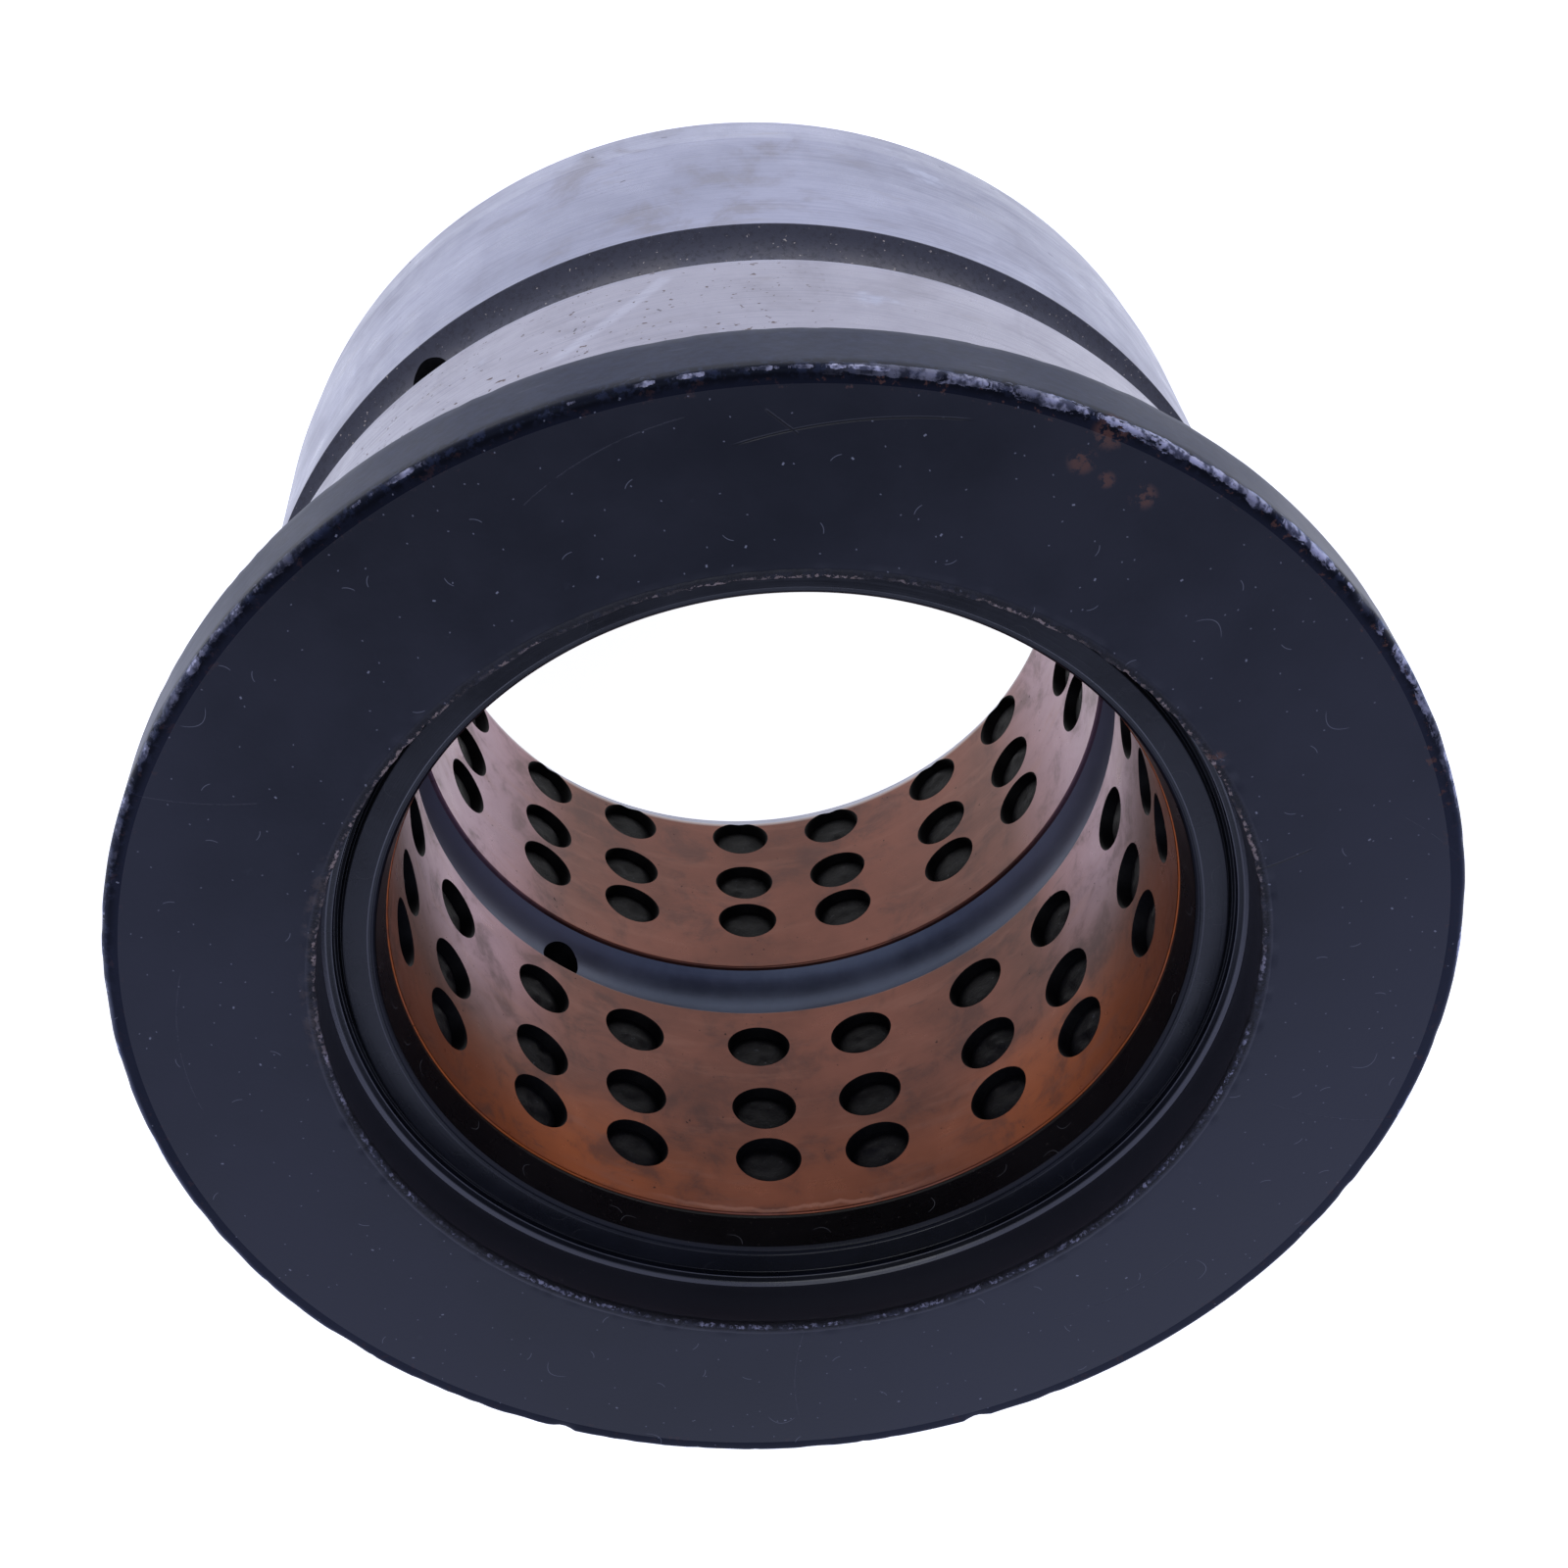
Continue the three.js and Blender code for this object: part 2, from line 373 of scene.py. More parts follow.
def shell_wear(radius, height, angle):
    """Dents in the flange's edges and in its mouth, and a forging's slight waviness."""
    diagonal = math.sqrt(0.5)
    front_edge = (FLANGE_RADIUS, LENGTH)
    back_edge = (FLANGE_RADIUS, FLANGE_BACK)
    mouth_edge = (COUNTERBORE_RADIUS, LENGTH)
    on_rim = np.clip((radius - BARREL_RADIUS) / (FLANGE_RADIUS - BARREL_RADIUS), 0, 1)
    radius = radius + on_rim * (waviness(angle, 3, FLANGE_WAVE) - FLANGE_WAVE_INSET)
    small = scattered_nicks(11, 90, (0.5, 2.6), (0.03, 0.13))
    large = scattered_nicks(12, 9, (1.5, 4.0), (0.1, 0.22))
    chips = [(math.radians(angle), CHIP_HALF_LENGTH, CHIP_DEPTH) for angle in CHIP_ANGLES]
    radius, height = dented_edge(
        radius, height, angle, front_edge, (-diagonal, -diagonal), small + large + chips
    )
    back = scattered_nicks(13, 60, (0.5, 2.2), (0.03, 0.12))
    radius, height = dented_edge(radius, height, angle, back_edge, (-diagonal, diagonal), back)
    mouth = scattered_nicks(14, 110, (0.3, 1.5), (0.04, 0.28))
    return dented_edge(radius, height, angle, mouth_edge, (diagonal, -diagonal), mouth)


# ---- material nodes


class Nodes:
    """A node tree that grows: methods add nodes, and most give back the socket they make."""

    def __init__(self, tree):
        self.tree = tree

    def feed(self, socket, value):
        if isinstance(value, bpy.types.NodeSocket):
            self.tree.links.new(value, socket)
        elif isinstance(value, tuple) and len(value) == 3 and socket.type == "RGBA":
            socket.default_value = (*value, 1)
        else:
            socket.default_value = value

    def node(self, kind, **inputs):
        """A new node with its inputs fed by name, underscores standing for spaces."""
        node = self.tree.nodes.new("ShaderNode" + kind)
        for name, value in inputs.items():
            self.feed(node.inputs[name.replace("_", " ")], value)
        return node

    def parts(self, vector):
        return self.node("SeparateXYZ", Vector=vector).outputs

    def combine(self, x, y, z):
        return self.node("CombineXYZ", X=x, Y=y, Z=z).outputs[0]

    def operate(self, kind, operation, first, second):
        node = self.node(kind)
        node.operation = operation
        self.feed(node.inputs[0], first)
        if second is not None:
            self.feed(node.inputs[1], second)
        return node

    def vector(self, operation, first, second=None, scale=None):
        node = self.operate("VectorMath", operation, first, second)
        if scale is not None:
            self.feed(node.inputs["Scale"], scale)
        scalar = operation in ("LENGTH", "DOT_PRODUCT", "DISTANCE")
        return node.outputs["Value" if scalar else "Vector"]

    def math(self, operation, first, second=None):
        return self.operate("Math", operation, first, second).outputs[0]

    def times(self, first, second):
        return self.math("MULTIPLY", first, second)

    def plus(self, first, second):
        return self.math("ADD", first, second)

    def minus(self, first, second):
        return self.math("SUBTRACT", first, second)

    def size(self, value):
        return self.math("ABSOLUTE", value)

    def either(self, first, second):
        return self.math("MAXIMUM", first, second)

    def ramp(self, value, low, high, to_low=0.0, to_high=1.0):
        """A smooth step of value from low to high, also downward when high is the smaller."""
        if high < low:
            low, high, to_low, to_high = high, low, to_high, to_low
        node = self.node("MapRange", Value=value, From_Min=low, From_Max=high)
        node.interpolation_type = "SMOOTHSTEP"
        node.inputs["To Min"].default_value = to_low
        node.inputs["To Max"].default_value = to_high
        return node.outputs["Result"]

    def mix(self, factor, first, second):
        """A colour between two, by a factor from 0 to 1."""
        node = self.node("Mix")
        node.data_type = "RGBA"
        from_colour, to_colour = [socket for socket in node.inputs if socket.type == "RGBA"]
        self.feed(node.inputs["Factor"], factor)
        self.feed(from_colour, first)
        self.feed(to_colour, second)
        return next(socket for socket in node.outputs if socket.type == "RGBA")


class Finish(Nodes):
    """One material, with places in mm, masks on them and layers of colour."""

    def __init__(self, name):
        self.material = bpy.data.materials.new(name)
        self.material.use_nodes = True
        super().__init__(self.material.node_tree)
        self.shader = self.tree.nodes["Principled BSDF"]
        place = self.node("TexCoord").outputs["Object"]
        self.position = self.vector("SCALE", place, scale=1 / MM)
        self.x, self.y, self.height = self.parts(self.position)
        self.flat = self.combine(self.x, self.y, 0)
        self.radius = self.vector("LENGTH", self.flat)
        self.direction = self.vector("NORMALIZE", self.flat)

    def noise_on(self, vector, scale, detail, roughness, seed, distortion):
        """Noise sampled at a vector; the seed moves it elsewhere in the noise."""
        node = self.node("TexNoise", Vector=vector, Scale=scale, Detail=detail)
        node.noise_dimensions = "4D"
        node.inputs["W"].default_value = seed
        node.inputs["Roughness"].default_value = roughness
        node.inputs["Distortion"].default_value = distortion
        return node.outputs[0]

    def noise(self, scale, detail, roughness, seed, distortion=0.0):
        """Noise in space with scale features a millimetre."""
        return self.noise_on(self.position, scale, detail, roughness, seed, distortion)

    def turned(self, around, along, detail, roughness, seed, outward=0.0, distortion=0.0):
        """Noise round the axis without a seam, by its scales around, along and outward."""
        turned = self.vector("SCALE", self.direction, scale=around)
        rise = self.plus(self.times(self.height, along), self.times(self.radius, outward))
        vector = self.vector("ADD", turned, self.combine(0, 0, rise))
        return self.noise_on(vector, 1, detail, roughness, seed, distortion)

    def unrolled(self, radius, rise):
        """A surface about the axis laid flat: mm round it from +X, and a rise."""
        angle = self.math("ARCTAN2", self.y, self.x)
        return self.combine(self.times(angle, radius), rise, 0)

    def marks(self, plane, spacing, length, width, share, seed=0.0, bend=0.0):
        """Scattered thin marks on a plane (x, y, 0) in mm, one to a cell, each turned its own way.

        length and width are half sizes in mm, share the part of the cells that has a mark, and
        bend how much a mark curves."""
        moved = self.vector("ADD", plane, (seed * 17.3, seed * 9.1, 0.0))
        cells = self.node("TexVoronoi", Vector=moved, Scale=1 / spacing, Randomness=1.0)
        cells.voronoi_dimensions = "2D"
        local = self.vector("SUBTRACT", moved, cells.outputs["Position"])
        chances = self.node("SeparateColor", Color=cells.outputs["Color"]).outputs
        turn = self.times(chances[0], 2 * math.pi)
        rotate = self.node("VectorRotate", Vector=local, Angle=turn)
        rotate.rotation_type = "Z_AXIS"
        along, across, _ = self.parts(rotate.outputs[0])
        if bend:
            bow = self.times(self.times(along, along), bend / length)
            across = self.minus(across, bow)
        reach = self.ramp(self.size(along), length, 0.8 * length)
        thin = self.ramp(self.size(across), width, 0.4 * width)
        chosen = self.math("LESS_THAN", chances[1], share)
        return self.times(self.times(reach, thin), chosen)

    def stroke(self, plane, start, end, width, bow=0.0):
        """1 along one scratch between two points (x, y) of a plane, bowed aside in its middle."""
        reach = Vector((*end, 0)) - Vector((*start, 0))
        length = reach.length
        along = reach / length
        from_start = self.vector("SUBTRACT", plane, (*start, 0))
        share = self.times(self.vector("DOT_PRODUCT", from_start, tuple(along)), 1 / length)
        side = self.vector("DOT_PRODUCT", from_start, (-along.y, along.x, 0))
        curve = self.times(self.times(share, self.minus(1.0, share)), 4 * bow)
        away = self.size(self.minus(side, curve))
        from_middle = self.size(self.minus(share, 0.5))
        return self.times(self.ramp(away, width, 0.3 * width), self.ramp(from_middle, 0.5, 0.4))

    def near_ring(self, radius, height, far, near):
        """1 within near of a circle about the axis and 0 beyond far, in mm."""
        away_radius = self.minus(self.radius, radius)
        away_height = self.minus(self.height, height)
        away = self.vector("LENGTH", self.combine(away_radius, away_height, 0))
        return self.ramp(away, far, near)

    def spot(self, centre, radius, soft=0.5):
        """1 inside a ball about a point in mm, fading out at its edge."""
        away = self.vector("DISTANCE", self.position, centre)
        return self.ramp(away, radius, radius * (1 - soft))

    def bump(self, height, distance, strength=1.0, normal=None):
        """A bump whose full height is distance mm."""
        node = self.node("Bump", Strength=strength, Distance=distance * MM, Height=height)
        if normal is not None:
            self.feed(node.inputs["Normal"], normal)
        return node.outputs[0]

    def start(self, factor, first, second):
        """The undermost colour: between two, by a factor."""
        self.colour = self.mix(factor, first, second)

    def layer(self, mask, colour, strength=1.0):
        """Lays a colour over what is there, where the mask says."""
        if strength != 1:
            mask = self.times(mask, strength)
        self.colour = self.mix(mask, self.colour, colour)

    def paint(self, **values):
        """The material, with its layers as base colour and other shader sockets set by name."""
        self.feed(self.shader.inputs["Base Color"], self.colour)
        for name, value in values.items():
            self.feed(self.shader.inputs[name.replace("_", " ")], value)
        return self.material


RUBBED_SIDE = (-44, -46, LENGTH)  # mm, middle of the flange's most rubbed edge
LESS_RUBBED_SIDE = (50, -43, LENGTH)
# The rust spots by the rubbed edge, as x, y and size.
RUST_SPOTS = ((-33.6, -55.4, 2.0), (-31.0, -53.1, 1.6), (-36.1, -48.9, 1.5), (-33, -51, 1.0))
MOUTH_EDGE = (COUNTERBORE_RADIUS + 0.15, LENGTH - 0.1)


def edge_wear(f, edge, broken, reach, least):
    """Where a ring edge is rubbed bare: where the broken noise and the edge's nearness add up."""
    near = f.near_ring(*edge, reach, 0.1)
    return f.ramp(f.plus(f.times(near, 0.45), broken), least, least + 0.04)


def bare_edges(f):
    """Steel showing through the paint at the flange's edges and its mouth."""
    broken = f.turned(17, 0.9, 6, 0.72, seed=5, outward=0.9)
    fine_broken = f.noise(1.9, 5, 0.7, seed=12)
    patchy = f.turned(7, 0.02, 4, 0.6, seed=6)
    front = (FLANGE_RADIUS - 0.2, LENGTH - 0.2)
    back = (FLANGE_RADIUS - 0.2, FLANGE_BACK + 0.2)
    thin = f.times(edge_wear(f, front, broken, 0.8, 0.925), f.ramp(patchy, 0.44, 0.54))
    less_rubbed = f.times(f.spot(LESS_RUBBED_SIDE, 26, soft=0.7), 0.4)
    rubbed = f.either(f.spot(RUBBED_SIDE, 41, soft=0.5), less_rubbed)
    rubbed = f.times(rubbed, f.ramp(patchy, 0.34, 0.46, 0.3, 1.0))
    wide = f.times(edge_wear(f, front, broken, 2.0, 0.88), rubbed)
    behind = f.times(edge_wear(f, back, broken, 0.7, 0.93), 0.6)
    stretches = f.ramp(patchy, 0.42, 0.54, 0.1, 0.9)
    mouth = f.times(edge_wear(f, MOUTH_EDGE, fine_broken, 0.8, 0.935), stretches)
    return f.either(f.either(thin, wide), f.either(behind, mouth))


def face_dust(f):
    """Dust grains and lint lying on the flange's face."""
    grains = f.marks(f.flat, 8.5, 0.15, 0.12, 0.5, seed=1)
    powder = f.marks(f.flat, 2.3, 0.09, 0.08, 0.35, seed=2)
    lint = f.marks(f.flat, 6.0, 0.6, 0.05, 0.35, seed=3, bend=0.25)
    fibres = f.marks(f.flat, 21, 1.6, 0.05, 0.5, seed=5, bend=0.7)
    faint = f.either(f.times(powder, 0.7), f.times(f.either(lint, fibres), 0.6))
    return f.either(grains, faint)


def face_scratches(f):
    """Long faint scratches, and the dark ones near the flange's edge."""
    fine = f.noise(1.2, 4, 0.6, seed=2)
    faint = f.times(f.marks(f.flat, 27, 9, 0.06, 0.45, seed=4, bend=0.15), f.ramp(fine, 0.38, 0.58))
    dark = f.stroke(f.flat, (-4.9, -62.0), (-7.5, -59.2), 0.16)
    dark = f.either(dark, f.stroke(f.flat, (-1.5, -59.0), (-22.5, -58.2), 0.16, bow=1.2))
    return faint, f.either(dark, f.stroke(f.flat, (-51.0, -9.0), (-40.5, -6.5), 0.12, bow=0.4))


def rust_patches(f):
    """Small rusty patches on the flange: a group by the rubbed edge and one at the mouth."""
    clumps = f.ramp(f.noise(0.8, 5, 0.72, seed=13), 0.46, 0.54)
    patches = f.spot((-41.6, -20.5, LENGTH), 1.6, soft=0.6)
    for x, y, size in RUST_SPOTS:
        patches = f.either(patches, f.spot((x, y, LENGTH), size, soft=0.6))
    specks = f.noise(0.9, 4, 0.7, seed=7)
    inside_edge = f.near_ring(FLANGE_RADIUS - 1.4, LENGTH, 1.4, 0.6)
    by_edge = f.ramp(f.plus(f.times(inside_edge, 0.3), f.times(specks, 0.7)), 0.7, 0.75)
    by_edge = f.times(by_edge, f.ramp(f.spot(RUBBED_SIDE, 46), 0.0, 0.4, 0.2, 0.8))
    return f.either(f.times(patches, clumps), by_edge)


def black_paint(name, specular, tint):
    """Satin navy-black paint, dusty, scratched, rusty in places and worn to steel at the edges,
    with painted shade and painted sheen on its face, rim and edges.
    """
    f = Finish(name)
    mottle = f.noise(0.06, 5, 0.6, seed=1)
    f.start(f.ramp(mottle, 0.3, 0.7), (0.008, 0.0095, 0.016), (0.0145, 0.016, 0.026))
    # Painted shade and sheen across the paint: darker towards -Y, lighter towards the sides and
    # towards +Y and -X.
    f.layer(f.ramp(f.y, -25, -60, 0.0, 0.4), (0.004, 0.005, 0.009))
    f.layer(f.ramp(f.size(f.x), 30, 62), (0.026, 0.029, 0.045), 0.3)
    f.layer(f.ramp(f.minus(f.y, f.x), 35, 80), (0.03, 0.033, 0.048), 0.35)
    rubs = f.ramp(f.noise(0.35, 4, 0.6, seed=10), 0.66, 0.74)
    f.layer(rubs, (0.03, 0.032, 0.042), 0.35)

    on_face = f.ramp(f.height, LENGTH - 0.3, LENGTH - 0.05)
    dust = f.times(face_dust(f), on_face)
    faint, dark = face_scratches(f)
    faint = f.times(faint, on_face)
    dark = f.times(dark, on_face)
    f.layer(dust, (0.24, 0.25, 0.29), 0.8)
    f.layer(faint, (0.045, 0.048, 0.065), 0.35)
    f.layer(dark, (0.002, 0.002, 0.003), 0.8)

    on_rim = f.ramp(f.radius, FLANGE_RADIUS - 0.9, FLANGE_RADIUS - 0.45)
    # Bluish streaks all round the rim: painted reflection of the pale floor.
    streaks = f.turned(60, 1.6, 3, 0.6, seed=8)
    smears = f.turned(9, 1.2, 5, 0.7, seed=11)
    painted_rim_sheen = f.times(on_rim, f.ramp(streaks, 0.25, 0.75, 0.35, 1.0))
    f.layer(painted_rim_sheen, (0.022, 0.029, 0.056), 0.75)
    pale = f.times(on_rim, f.ramp(smears, 0.6, 0.7))
    f.layer(pale, (0.085, 0.09, 0.12), 0.4)
    # Painted sheen: the rim lighter towards +X, broken by smears.
    painted_side_sheen = f.times(f.times(on_rim, f.ramp(f.x, 40, 60)), f.ramp(smears, 0.4, 0.6, 0.4, 1.0))
    f.layer(painted_side_sheen, (0.13, 0.145, 0.2), 0.5)

    below_face = f.times(
        f.ramp(f.height, LENGTH - 0.25, LENGTH - 0.6),
        f.ramp(f.radius, COUNTERBORE_RADIUS + 0.5, COUNTERBORE_RADIUS + 0.2),
    )
    wall_dust = f.ramp(f.noise(1.9, 3, 0.6, seed=14), 0.66, 0.74)
    f.layer(below_face, (0.015, 0.0145, 0.016), 0.8)
    f.layer(f.times(below_face, wall_dust), (0.1, 0.095, 0.085), 0.35)

    near_mouth = f.near_ring(*MOUTH_EDGE, 0.9, 0.35)
    # A dark broken band at the mouth and, on the -Y side only, at the front edge: chipped paint and
    # painted shade.
    chips = f.ramp(f.noise(0.9, 5, 0.7, seed=16), 0.42, 0.5)
    front_edge_shade = f.near_ring(FLANGE_RADIUS - 0.3, LENGTH - 0.4, 1.4, 0.6)
    front_edge_shade = f.times(front_edge_shade, f.ramp(f.y, 0, -30))
    shaded_edges = f.either(near_mouth, front_edge_shade)
    f.layer(f.times(shaded_edges, chips), (0.0025, 0.0025, 0.0035), 0.85)

    bare = bare_edges(f)
    rust = f.times(rust_patches(f), f.minus(1.0, bare))
    stain_noise = f.ramp(f.noise(0.55, 6, 0.72, seed=5), 0.48, 0.6)
    stain = f.times(stain_noise, f.near_ring(COUNTERBORE_RADIUS + 0.9, LENGTH, 0.9, 0.2))
    stain = f.times(stain, f.spot((44, -12, LENGTH), 17, soft=0.6))
    f.layer(stain, (0.075, 0.058, 0.052), 0.6)
    f.layer(rust, (0.105, 0.048, 0.034), 0.85)
    steel_noise = f.ramp(f.noise(1.2, 4, 0.6, seed=2), 0.4, 0.6)
    steel = f.mix(steel_noise, (0.065, 0.068, 0.092), (0.36, 0.36, 0.44))
    browned = f.times(near_mouth, f.ramp(f.y, 12, -12))
    steel = f.mix(f.times(browned, 0.8), steel, (0.4, 0.31, 0.26))
    f.layer(bare, steel)

    rough = f.ramp(mottle, 0.3, 0.7, 0.38, 0.48)
    rough = f.plus(rough, f.times(f.either(f.either(dust, rust), near_mouth), 0.3))
    peel = f.bump(f.noise(2.2, 3, 0.55, seed=9), 0.02, 0.5)
    worn = f.minus(1.0, f.either(bare, f.either(faint, dark)))
    normal = f.bump(worn, 0.07, 0.7, peel)
    chipped = f.times(f.noise(1.3, 4, 0.7, seed=15), near_mouth)
    normal = f.bump(chipped, 0.5, 0.9, normal)
    f.paint(Specular_IOR_Level=specular, Specular_Tint=tint, Roughness=rough, Normal=normal)
    return f.paint(Metallic=f.times(bare, 0.85))


BARREL_STAIN = (2, -57, 22)  # mm, middle of the most stained part of the barrel
SPECKED_MIDDLES = ((4, -57, 57), (27, -51, 60))  # mm, middles of the most specked parts


def ground_steel():
    """The barrel's ground seat: cool grey steel with cloudy stains, streaks, brown specks and
    painted shade on its sides.
    """
    f = Finish("ground_steel")
    unrolled = f.unrolled(BARREL_RADIUS, f.height)
    cloud = f.noise(0.035, 5, 0.6, seed=1)
    f.start(f.ramp(cloud, 0.35, 0.68), (0.2, 0.208, 0.28), (0.27, 0.278, 0.365))
    near_land = f.ramp(f.height, OUTER_GROOVE_TOP - 1, OUTER_GROOVE_TOP + 1)
    f.layer(near_land, (0.315, 0.295, 0.315), 0.6)
    # Painted shade: the land darker towards +X, the rest of the barrel darker towards -X.
    shaded_land_side = f.times(near_land, f.ramp(f.x, 18, 42))
    shaded_barrel_side = f.times(f.ramp(near_land, 1, 0), f.ramp(f.x, -15, -42))
    f.layer(f.either(shaded_land_side, shaded_barrel_side), (0.185, 0.19, 0.25), 0.4)
    blotch = f.noise(0.11, 6, 0.68, seed=2, distortion=0.6)
    stain = f.times(f.ramp(blotch, 0.48, 0.66), f.ramp(f.spot(BARREL_STAIN, 30), 0, 1, 0.35, 1.0))
    f.layer(stain, (0.185, 0.17, 0.175), 0.55)
    smear = f.turned(4, 0.25, 5, 0.7, seed=4, distortion=1.0)
    f.layer(f.ramp(smear, 0.56, 0.7), (0.19, 0.17, 0.17), 0.35)
    streak = f.turned(5, 2.2, 4, 0.65, seed=3)
    f.layer(f.ramp(streak, 0.6, 0.8, 0.0, 0.3), (0.4, 0.41, 0.5))
    polish = f.ramp(f.turned(6, 0.12, 4, 0.6, seed=8), 0.62, 0.72)
    f.layer(polish, (0.42, 0.45, 0.56), 0.45)
    rub = f.stroke(unrolled, (-75, 60), (-88, 46), 1.2, bow=-1.0)
    f.layer(rub, (0.45, 0.46, 0.54), 0.3)

    specks = f.ramp(f.turned(76, 1.6, 2, 0.5, seed=5), 0.64, 0.7)
    patch = f.ramp(f.noise(0.07, 3, 0.5, seed=6), 0.5, 0.64)
    for middle in SPECKED_MIDDLES:
        patch = f.either(patch, f.spot(middle, 22, soft=0.6))
    specked = f.either(f.times(near_land, f.ramp(patch, 0, 1, 0.08, 1)), f.times(patch, 0.2))
    specks = f.times(specks, specked)
    f.layer(specks, (0.12, 0.08, 0.06), 0.85)
    drops = f.marks(unrolled, 13, 0.4, 0.16, 0.3, seed=7)
    f.layer(drops, (0.1, 0.085, 0.08), 0.6)
    lines = f.turned(3, 4.5, 4, 0.7, seed=7)
    f.layer(f.ramp(lines, 0.45, 0.7, 0.0, 0.22), (0.13, 0.135, 0.17))
    rough = f.plus(f.ramp(blotch, 0.3, 0.7, 0.24, 0.38), f.ramp(lines, 0.4, 0.7, 0.0, 0.1))
    rough = f.plus(rough, f.times(f.either(specks, drops), 0.3))
    normal = f.bump(lines, 0.012, 0.6)
    normal = f.bump(specks, -0.05, 0.5, normal)
    return f.paint(Metallic=0.9, Roughness=rough, Normal=normal)


def groove_steel():
    """The outer groove: dark matte grey with painted shade, lighter towards the flange, grainy with
    bright specks.
    """
    f = Finish("groove_steel")
    grain = f.noise(1.7, 5, 0.75, seed=1)
    cloud = f.noise(0.1, 4, 0.6, seed=2)
    # Painted shade: dark at the groove's lower side, lightening towards the flange; the golden
    # patches follow it.
    light = f.ramp(f.height, OUTER_GROOVE_BOTTOM + 0.5, OUTER_GROOVE_TOP - 1.5)
    f.start(light, (0.038, 0.039, 0.052), (0.2, 0.2, 0.225))
    golden = f.times(f.ramp(cloud, 0.46, 0.6), light)
    f.layer(golden, (0.25, 0.215, 0.15), 0.6)
    f.layer(f.ramp(grain, 0.52, 0.38), (0.02, 0.019, 0.024), 0.55)
    specks = f.ramp(f.noise(2.4, 3, 0.6, seed=4), 0.66, 0.71)
    f.layer(specks, (0.5, 0.44, 0.36), 0.8)
    return f.paint(Metallic=0.25, Roughness=0.68, Normal=f.bump(grain, 0.1, 0.8))


def bore_steel():
    """The bare steel of the bore: the inner groove and the lip at the plain end, with painted sheen
    on the sides.
    """
    f = Finish("bore_steel")
    turned = f.turned(3, 4, 4, 0.65, seed=1, outward=4)
    cloud = f.noise(0.1, 4, 0.6, seed=2)
    f.start(f.ramp(cloud, 0.35, 0.65), (0.078, 0.098, 0.15), (0.125, 0.155, 0.23))
    f.layer(f.ramp(turned, 0.5, 0.8, 0.0, 0.35), (0.16, 0.175, 0.235))
    # Painted sheen: lighter towards the sides.
    f.layer(f.ramp(f.size(f.x), 16, 38), (0.26, 0.28, 0.35), 0.7)
    at_end = f.ramp(f.height, lower_liner.bottom + 0.2, lower_liner.bottom - 0.4)
    f.layer(at_end, (0.33, 0.34, 0.42))
    rough = f.ramp(cloud, 0.3, 0.7, 0.38, 0.52)
    return f.paint(Metallic=0.6, Roughness=rough, Normal=f.bump(turned, 0.02, 0.5))


def liner_bronze():
    """Sintered bronze: brown and oily, brighter orange where rubbed, with painted interreflection
    and a painted lilac sheen on the sides, stains and dark dots.
    """
    f = Finish("liner_bronze")
    cloud = f.noise(0.05, 5, 0.6, seed=1)
    blotch = f.noise(0.16, 6, 0.68, seed=2, distortion=0.5)
    turned = f.turned(4, 3.5, 4, 0.6, seed=3)
    wide_turned = f.turned(3, 0.35, 4, 0.6, seed=4)
    f.start(f.ramp(cloud, 0.35, 0.65), (0.112, 0.04, 0.027), (0.17, 0.06, 0.04))
    # Brighter orange where rubbed near the mouth end, weighted to the sides as painted
    # interreflection of the bronze.
    bounce_sides = f.ramp(f.size(f.x), 8, 34)
    rubbed = f.ramp(f.plus(f.height, f.times(cloud, 14)), 67, 82)
    rubbed_and_bounce = f.times(rubbed, f.ramp(bounce_sides, 0, 1, 0.25, 1.0))
    f.layer(rubbed_and_bounce, (0.38, 0.088, 0.011), 0.9)
    # Painted reflection: a lilac sheen on the sides, deeper in the bore.
    painted_lilac_sheen = f.times(f.ramp(f.size(f.x), 27, 39), f.ramp(f.height, 68, 50))
    f.layer(painted_lilac_sheen, (0.42, 0.28, 0.38), 0.62)
    f.layer(f.ramp(blotch, 0.48, 0.66, 0.0, 0.55), (0.07, 0.034, 0.03))
    f.layer(f.ramp(wide_turned, 0.5, 0.72, 0.0, 0.4), (0.22, 0.095, 0.068))
    f.layer(f.ramp(turned, 0.55, 0.85, 0.0, 0.3), (0.09, 0.048, 0.042))
    dots = f.ramp(f.noise(1.7, 2, 0.5, seed=5), 0.71, 0.76)
    f.layer(dots, (0.02, 0.012, 0.011), 0.75)
    smears = f.ramp(f.turned(7, 0.9, 5, 0.7, seed=7), 0.62, 0.7)
    f.layer(smears, (0.05, 0.03, 0.028), 0.45)

    ragged = f.times(f.turned(5, 0.02, 4, 0.6, seed=6), 3.4)
    rise = f.plus(f.height, ragged)
    upper_end = f.ramp(rise, upper_liner.top + 0.3, upper_liner.top + 0.6)
    edge_band = f.times(upper_end, f.ramp(rise, upper_liner.top + 1.3, upper_liner.top + 0.7))
    lower_end = f.ramp(f.height, lower_liner.bottom + 0.9, lower_liner.bottom + 0.3)
    edge_band = f.times(edge_band, f.spot((4, 40, upper_liner.top), 19, soft=0.6))
    f.layer(edge_band, (0.36, 0.17, 0.12), 0.6)
    f.layer(lower_end, (0.5, 0.46, 0.46), 0.6)
    rough = f.plus(f.ramp(blotch, 0.3, 0.7, 0.26, 0.42), f.times(dots, 0.3))
    normal = f.bump(turned, 0.012, 0.6)
    normal = f.bump(blotch, 0.04, 0.35, normal)
    f.paint(Coat_Weight=0.12, Coat_Roughness=0.22, Coat_IOR=1.5)
    return f.paint(Metallic=0.85, Roughness=rough, Normal=normal)


